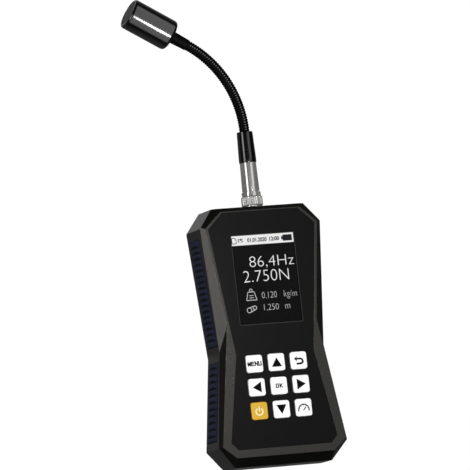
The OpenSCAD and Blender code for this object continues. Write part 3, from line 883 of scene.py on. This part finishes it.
class TESTER_OT_keys(bpy.types.Operator):
    """Nine soft keys with printed legends"""

    bl_idname = "tester.keys"
    bl_label = "Keys"

    flange_margin = 0.8
    flange_height = 1.2
    above_seat = 3.1
    corner = 1.6
    stem = 2.2
    print_lift = 0.01
    letters = {"MENU": ((1.55, 2.3), 2.42, 0.72), "OK": ((1.5, 2.1), 2.7, 0.7)}
    turns = {"up": 0, "left": 90, "down": 180, "right": 270}

    def cap(self, low, high):
        """Key as one skin: rings of rounded squares from the round stem up to the crowned top.

        Each ring is (half side, corner radius, height). The top edge is a quarter circle of key_round, and
        the top rises by key_crown towards its middle.
        """
        flange = (high - low)[0] / 2
        half = flange - self.flange_margin
        centre = (low + high) / 2
        ease = sizes().key_round / MM
        quarter = np.linspace(0, np.pi / 2, 6)
        under, seat = high[2] - self.above_seat - self.flange_height, high[2] - self.above_seat
        stem, outer = (self.stem, self.stem - 0.01), (flange, self.corner + self.flange_margin)
        rings = [(*stem, low[2]), (*stem, under), (*outer, under), (*outer, seat), (half, self.corner, seat)]
        rings += [(half - ease * (1 - math.cos(a)), self.corner, high[2] - ease * (1 - math.sin(a)))
                  for a in quarter]
        crown = sizes().key_crown / MM
        rings += [(half * k, self.corner * k, high[2] + crown * (1 - k ** 2)) for k in (0.8, 0.5, 0.2, 0.02)]
        return loft(np.stack([
            at_height(rounded_square(side, side, radius) + centre[:2], z) for side, radius, z in rings
        ])), centre[:2]

    @staticmethod
    def block_letters(text, centre, size, pitch, weight, low, high):
        """A word in block letters about a centre: strokes are ribbons that run on by half of their weight."""
        strokes = []
        for k, letter in enumerate(text):
            corner = np.array(centre) + [(k - (len(text) - 1) / 2) * pitch - size[0] / 2, -size[1] / 2]
            for stroke in LETTERS[letter]:
                ends = np.array(stroke) * size + corner
                past = unit(ends[1] - ends[0]) * weight / 2
                strokes.append(ribbon(np.array([ends[0] - past, ends[1] + past]), weight, low, high))
        return strokes

    def legend(self, sign, centre, low, high):
        """Mark on a key: letters, a triangle, a return arrow, a power sign or a gauge."""
        if sign in self.letters:
            return self.block_letters(sign, centre, *self.letters[sign], low, high)
        if sign in self.turns:
            turn = math.radians(self.turns[sign])
            tip = np.array([[-3.5, -2.9], [3.5, -2.9], [0.0, 3.05]])
            spin = np.array([[math.cos(turn), math.sin(turn)], [-math.sin(turn), math.cos(turn)]])
            return [plate(tip @ spin + centre, low, high)]
        head = []
        if sign == "back":
            head = [plate(np.array([[-3.2, 1.1], [-1.2, -0.5], [-1.2, 2.7]]) + centre, low, high)]
            bend = np.concatenate([[[-1.4, 1.1]], arc((1.1, -0.5), 1.6, 90, -90, 20), [[-1.7, -2.1]]])
            strokes = [(bend, 1.2)]
        elif sign == "power":
            strokes = [(arc((-0.2, -0.4), 2.35, 125, 415, 40), 0.65), ([[-0.2, -0.3], [-0.2, 3.0]], 0.65)]
        else:
            dial = np.array([-0.1, -1.6])
            ticks = [np.array([math.cos(a), math.sin(a)]) for a in np.radians([20, 55, 90, 125, 160])]
            strokes = [([dial + 2.8 * tick, dial + 3.5 * tick], 0.55) for tick in ticks]
            strokes += [(arc(dial, 3.6, -12, 192, 40), 0.7), ([dial - [0.3, 0.2], dial + [1.7, 1.9]], 0.65)]
        return [ribbon(np.array(path) + centre, width, low, high) for path, width in strokes] + head

    def execute(self, context):
        """Makes each key with its legend, riding on the key's own body."""
        tint = colours()
        plain = ("key_white", silicone_key("white_silicone", tint.key), key_ink("black_ink", tint.ink))
        amber = ("key_amber", silicone_key("amber_silicone", tint.power), key_ink("cream_ink", tint.cream))
        for node, sign in KEYS.items():
            low, high = node_box(node)
            slot, rubber, ink = amber if sign == "power" else plain
            shape, centre = self.cap(low, high)
            put(node + "_cap", shape, rubber, node, [node], 40)
            top = high[2] + (sizes().key_crown + sizes().ink) / MM
            mark = joined(self.legend(sign, centre, high[2] + self.print_lift, top))
            put(node + "_legend", mark, ink, node)
        return {"FINISHED"}


# Connector, neck and head

class TESTER_OT_connector(bpy.types.Operator):
    """Nickel connector with its knurled ring, plug sleeve and boot"""

    bl_idname = "tester.connector"
    bl_label = "Connector"

    flutes = 30
    flute_depth = 0.45
    flute_zone = (6.7, 1.9, 6.4)
    slots = 6
    slot_depth = 0.6
    slot_zone = (5.8, 8.0, 10.15)
    slot_edge = 0.72

    @staticmethod
    def within(zone, radius, distance):
        """Where a profile lies in a zone: above its least radius and between its two distances."""
        return (radius > zone[0]) & (distance > zone[1]) & (distance < zone[2])

    def flute(self, radius, distance, turn):
        """Radius of the ring: a row of round flutes cut between its two plain rims."""
        wave = np.abs(np.cos(turn * self.flutes / 2)) ** 3
        return radius - self.flute_depth * wave * self.within(self.flute_zone, radius, distance)

    def slot_cut(self, radius, distance, turn):
        """Radius of the plug: six slots cut in its collar."""
        wave = np.cos(turn * self.slots) > self.slot_edge
        return radius - self.slot_depth * wave * self.within(self.slot_zone, radius, distance)

    def execute(self, context):
        """Turns the ring, the plug and the boot, and plates the socket."""
        nickel = turned_nickel()
        dress("sensor_socket", nickel)
        dress("socket_nut", nickel)
        place = on_connector()
        ring = [(6.55, 1.2), (6.9, 1.5), (6.9, 1.95), (6.9, 2.2), (6.9, 4.1), (6.9, 6.1), (6.9, 6.35),
                (6.9, 6.8), (6.6, 7.1), (4.3, 7.1), (4.3, 5.7), (5.1, 5.7), (5.1, 1.2)]
        knurled = lathe(ring, place, 360, self.flute)
        put("coupling_ring_knurl", knurled, nickel, "coupling_ring", ["coupling_ring"], 30)
        plug = rounded_profile([
            (4.2, 4.3, 0), (4.2, 7.15, 0), (5.8, 7.2, 0), (6.1, 7.5, 0), (6.1, 8.1, 0), (6.1, 8.3, 0),
            (6.1, 9.9, 0), (6.1, 10.1, 0), (5.35, 10.25, 0), (5.35, 10.7, 0), (5.6, 10.9, 0.1),
            (5.27, 29.2, 0.2), (4.9, 29.5, 0), (3.3, 29.5, 0), (3.3, 4.3, 0)])
        slotted = lathe(plug, place, 288, self.slot_cut)
        put("plug_sleeve", slotted, nickel, "housing", ["plug_body"], 30)
        boot = rounded_profile([
            (5.6, 29.35, 0.25), (5.68, 31.0, 0.6), (5.55, 36.0, 2.0), (5.35, 42.0, 2.0), (5.22, 47.0, 1.5),
            (5.1, 49.5, 0.5), (3.6, 49.5, 0.2), (3.5, 48.0, 0), (3.5, 29.35, 0)], 8)
        glossy = heat_shrink("glossy_shrink", 0.9, (0.13, 0.18))
        put("shrink_boot_tube", lathe(boot, place, 96), glossy, "housing", ["shrink_boot"], 40)
        return {"FINISHED"}


class TESTER_OT_neck(bpy.types.Operator):
    """Coiled gooseneck, one stretch of coil for each of its joints"""

    bl_idname = "tester.neck"
    bl_label = "Neck"

    radius = 3.38
    bore = 1.5
    overlap = 2.0
    rows_per_mm = 6
    steps = 80
    glint_width = 0.25
    glint_turn = 0.08

    def stretch(self, start, stop):
        """Coil between two distances along the neck, as a thick tube.

        The radius over distance s and turn a is the outside radius less a furrow: with x the part of a
        pitch from the middle of the wire, s / pitch - a / 360 degrees, the furrow is the drop of a circle
        across the wire, limited to coil_depth. A painted highlight, a spot of bright metal, lies where x is
        small and the turn faces up.
        """
        pitch, depth = sizes().coil_pitch / MM, sizes().coil_depth / MM
        s = np.linspace(start, stop, int(round((stop - start) * self.rows_per_mm)))[:, None]
        turn = np.linspace(0, 2 * np.pi, self.steps, endpoint=False)[None, :]
        x = (s / pitch - turn / (2 * np.pi)) % 1.0 - 0.5
        drop = pitch / 2 * (1 - np.sqrt(np.clip(1 - (2 * x) ** 2, 0, 1)))
        radius = self.radius - np.minimum(drop, depth)
        # Painted highlight: a narrow spot on top of each turn, where the wire faces up
        on_top = np.exp(-((turn - np.pi / 2) / self.glint_turn) ** 2)
        painted_glint = np.clip(1 - np.abs(x) / self.glint_width, 0, 1) * on_top
        s = np.concatenate([s, [[stop], [start]]]) + 0 * turn
        radius = np.pad(radius, ((0, 2), (0, 0)), constant_values=self.bore)
        painted_glint = np.pad(painted_glint, ((0, 2), (0, 0))).reshape(-1)
        middle, heading = neck_point(s)
        right = np.stack([np.cos(heading), np.sin(heading), np.zeros_like(heading)], -1)
        rings = middle + (radius * np.cos(turn))[..., None] * right + (radius * np.sin(turn))[..., None] * UP
        return band(rings), painted_glint

    def execute(self, context):
        """Makes one stretch of coil for each joint, from the middle of one link to the middle of the next."""
        wire = blackened_wire()
        step = NECK_LENGTH / NECK_JOINTS
        bodies = ["housing"] + [f"neck_link_{k}" for k in range(1, NECK_JOINTS)] + ["sensor_head"]
        nodes = ["neck_root"] + bodies[1:-1]
        for k in range(NECK_JOINTS):
            start = k * step - (self.overlap if k == 0 else 0)
            stop = (k + 1) * step + (self.overlap if k == NECK_JOINTS - 1 else 0)
            shape, painted_glint = self.stretch(start, stop)
            # The painted highlight goes with the stretch as a value of each point
            piece = put(f"neck_coil_{k + 1}", shape, wire, crease=60, values={"painted_glint": painted_glint})
            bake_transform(piece)
            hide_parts(nodes[k])
        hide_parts("neck_end")
        return {"FINISHED"}


class TESTER_OT_head(bpy.types.Operator):
    """Sensor head and the sleeve in front of it"""

    bl_idname = "tester.head"
    bl_label = "Sensor head"

    def execute(self, context):
        """Turns the sleeve, the head and its plain front about the head axis."""
        place = on_head()
        sleeve = rounded_profile([
            (3.45, 4.0, 0.1), (3.67, 4.1, 0.1), (3.7, 8.0, 1.0), (3.95, 13.0, 1.5), (3.95, 16.7, 0),
            (3.0, 16.7, 0), (3.0, 4.0, 0)])
        dull = heat_shrink("dull_shrink", 0.05, (0.5, 0.6))
        put("head_sleeve_tube", lathe(sleeve, place, 64), dull, "sensor_head", ["head_sleeve"], 40)
        shell = rounded_profile([
            (3.0, 16.2, 0), (10.2, 16.2, 2.6), (10.2, 48.2, 1.8), (8.3, 48.2, 0.15), (8.0, 47.6, 0),
            (8.0, 46.6, 0), (3.0, 46.6, 0)], 10)
        turned = lathe(shell, place, 160)
        put("head_shell_turned", turned, anodised_aluminium(), "sensor_head", ["head_shell"], 30)
        disc = rounded_profile([(0.02, 46.65, 0), (7.98, 46.65, 0), (7.98, 47.95, 0.2), (0.02, 48.05, 0)])
        front = lathe(disc, place, 96)
        put("head_front_disc", front, head_face(), "sensor_head", ["head_front"], 30)
        return {"FINISHED"}


class TESTER_OT_inside(bpy.types.Operator):
    """Finishes of the pieces inside and behind"""

    bl_idname = "tester.inside"
    bl_label = "Inner pieces"

    def execute(self, context):
        """Gives each solid that stays as it is the finish of its real material."""
        for name, (nodes, settings, colour, *surface) in HIDDEN.items():
            finish = grained(name, settings, linear(colour), *surface)
            for node in nodes:
                dress(node, finish)
        return {"FINISHED"}


# Stage

class TESTER_OT_stage(bpy.types.Operator):
    """Lit table, soft studio light and the camera"""

    bl_idname = "tester.stage"
    bl_label = "Stage"

    right = (0.9324, -0.1075, 0.345)
    toward = (-0.3552, -0.0971, 0.9297)
    middle = (-19.8, 65.285, 33.7)
    width = 301.3
    distance = 4000.0
    sensor = 36.0
    farthest = 50000.0
    table_half = 2500.0
    table_level = -0.02
    across = (0.85, -0.52, 0.0)
    strip_place = 0.25
    head_middle = 33.0

    @staticmethod
    def placed(name, data, axes, place):
        """A new object with its own axes along the ones given and its origin at a place."""
        matrix = np.eye(4)
        matrix[:3, :3] = np.stack(axes, 1)
        matrix[:3, 3] = np.array(place) * MM
        thing = add_object(name, data)
        thing.matrix_world = Matrix(matrix.tolist())
        return thing

    def camera(self):
        """Long lens far away along the viewing direction, turned to the picture's own right-hand side."""
        toward = unit(self.toward)
        right = unit(np.array(self.right) - np.dot(self.right, toward) * toward)
        data = bpy.data.cameras.new("camera")
        data.sensor_width = self.sensor
        data.lens = self.sensor * self.distance / self.width
        data.clip_end = self.farthest * MM
        place = np.array(self.middle) + toward * self.distance
        axes = (right, np.cross(toward, right), toward)
        bpy.context.scene.camera = self.placed("camera", data, axes, place)

    def softbox(self, name, target, direction, distance, size, power, along=(0, 1, 0)):
        """Rectangular light facing a target from a direction, its long side as near to along as can be."""
        back = unit(direction)
        long_side = unit(np.array(along) - np.dot(along, back) * back)
        data = bpy.data.lights.new(name, "AREA")
        data.shape = "RECTANGLE"
        data.size, data.size_y = size[0] * MM, size[1] * MM
        data.energy = power
        axes = (np.cross(long_side, back), long_side, back)
        lamp = self.placed(name, data, axes, np.array(target) + back * distance)
        lamp.visible_camera = False
        return lamp

    def floor(self):
        """Wide lit table under the part, which the part neither mirrors nor takes light from."""
        corners = np.array([(-1, -1), (1, -1), (1, 1), (-1, 1)]) * self.table_half
        mesh = bpy.data.meshes.new("floor")
        mesh.from_pydata((at_height(corners, self.table_level) * MM).tolist(), [], [(0, 1, 2, 3)])
        mesh.materials.append(lit_pixels("light_table", colours().floor, 1.1))
        board = add_object("floor", mesh)
        board.visible_glossy = False
        board.visible_diffuse = False

    def sky(self):
        """Dim studio with one long strip of light overhead and a pale card low behind the part.

        The strip lies where a direction's share along across is near strip_place, well above the horizon.
        The card is what lies well below the horizon towards +Y. Each zone runs from one value of its
        measure to another, and its light from the third number to the fourth.
        """
        world = bpy.data.worlds.new("studio")
        world.use_nodes = True
        tree = world.node_tree
        place = add_node(tree, "ShaderNodeTexCoord").outputs["Generated"]
        axes = add_node(tree, "ShaderNodeSeparateXYZ", links={"Vector": place}).outputs
        share = add_node(tree, "ShaderNodeVectorMath", {"operation": "DOT_PRODUCT"}, {0: place})
        share.inputs[1].default_value = self.across
        gap = add_node(tree, "ShaderNodeMath", {"operation": "SUBTRACT"}, {0: share.outputs["Value"]})
        gap.inputs[1].default_value = self.strip_place
        gap = add_node(tree, "ShaderNodeMath", {"operation": "ABSOLUTE"}, {0: gap.outputs["Value"]})
        zones = [
            (gap.outputs["Value"], 0.25, 0.15, 0.0, 1.0),
            (axes["Z"], 0.27, 0.36, 0.0, 0.98),
            (axes["Z"], -0.5, -0.8, 0.0, 1.0),
            (axes["Y"], 0.1, 0.35, 0.0, 0.35),
            (axes["Z"], 0.0, -0.4, 0.015, 0.12),
        ]
        strip, high, low, behind, ground = (
            add_node(tree, "ShaderNodeMapRange", {"From Min": a, "From Max": b, "To Min": c, "To Max": d},
                     {"Value": value}).outputs["Result"] for value, a, b, c, d in zones)
        total = ground
        for first, second in ((low, behind), (strip, high)):
            total = add_node(tree, "ShaderNodeMath", {"operation": "MULTIPLY_ADD"},
                             {0: first, 1: second, 2: total}).outputs["Value"]
        background = tree.nodes["Background"].inputs
        tree.links.new(total, background["Strength"])
        background["Color"].default_value = (1, 1, 1, 1)
        bpy.context.scene.world = world

    def execute(self, context):
        """Sets the camera, the table, the studio and its lights."""
        bpy.context.scene.view_settings.view_transform = "Standard"
        self.camera()
        self.floor()
        self.sky()
        self.softbox("left_softbox", target=(-38, 30, 27), direction=(-0.84, 0.17, 0.52), distance=800,
                     size=(260, 700), power=2.0)
        fill = self.softbox("fill", target=(0, 40, 0), direction=(0, 0, 1), distance=1200,
                            size=(1500, 1500), power=4.5)
        fill.visible_glossy = False
        origin, axis = on_head()[:2]
        head = origin + axis * self.head_middle
        self.softbox("head_strip", target=head, direction=(0.04, -0.41, 0.91), distance=400,
                     size=(56, 70), power=0.85, along=axis)
        return {"FINISHED"}


class TESTER_PT_panel(bpy.types.Panel):
    """Lists the pieces of the tester in the order in which they are made"""

    bl_idname = "TESTER_PT_panel"
    bl_label = "Belt tension tester"
    bl_space_type = "VIEW_3D"
    bl_region_type = "UI"
    bl_category = "Tester"

    def draw(self, context):
        """Shows the settings and one button for each operator."""
        layout = self.layout
        for group in (context.scene.tester_sizes, context.scene.tester_colours):
            for name in group.__annotations__:
                layout.prop(group, name)
        for operator in OPERATORS:
            layout.operator(operator.bl_idname)


OPERATORS = (
    TESTER_OT_shells, TESTER_OT_grips, TESTER_OT_front, TESTER_OT_keys, TESTER_OT_connector, TESTER_OT_neck,
    TESTER_OT_head, TESTER_OT_inside, TESTER_OT_stage,
)
CLASSES = (TesterSizes, TesterColours) + OPERATORS + (TESTER_PT_panel,)


def register():
    """Registers the classes and the settings of the scene."""
    for cls in CLASSES:
        bpy.utils.register_class(cls)
    bpy.types.Scene.tester_sizes = bpy.props.PointerProperty(type=TesterSizes)
    bpy.types.Scene.tester_colours = bpy.props.PointerProperty(type=TesterColours)


def unregister():
    """Takes the settings and the classes away again."""
    del bpy.types.Scene.tester_colours
    del bpy.types.Scene.tester_sizes
    for cls in reversed(CLASSES):
        bpy.utils.unregister_class(cls)


def main():
    """Builds every piece in order."""
    register()
    bpy.ops.tester.shells()
    bpy.ops.tester.grips()
    bpy.ops.tester.front()
    bpy.ops.tester.keys()
    bpy.ops.tester.connector()
    bpy.ops.tester.neck()
    bpy.ops.tester.head()
    bpy.ops.tester.inside()
    bpy.ops.tester.stage()


if __name__ == "__main__":
    main()
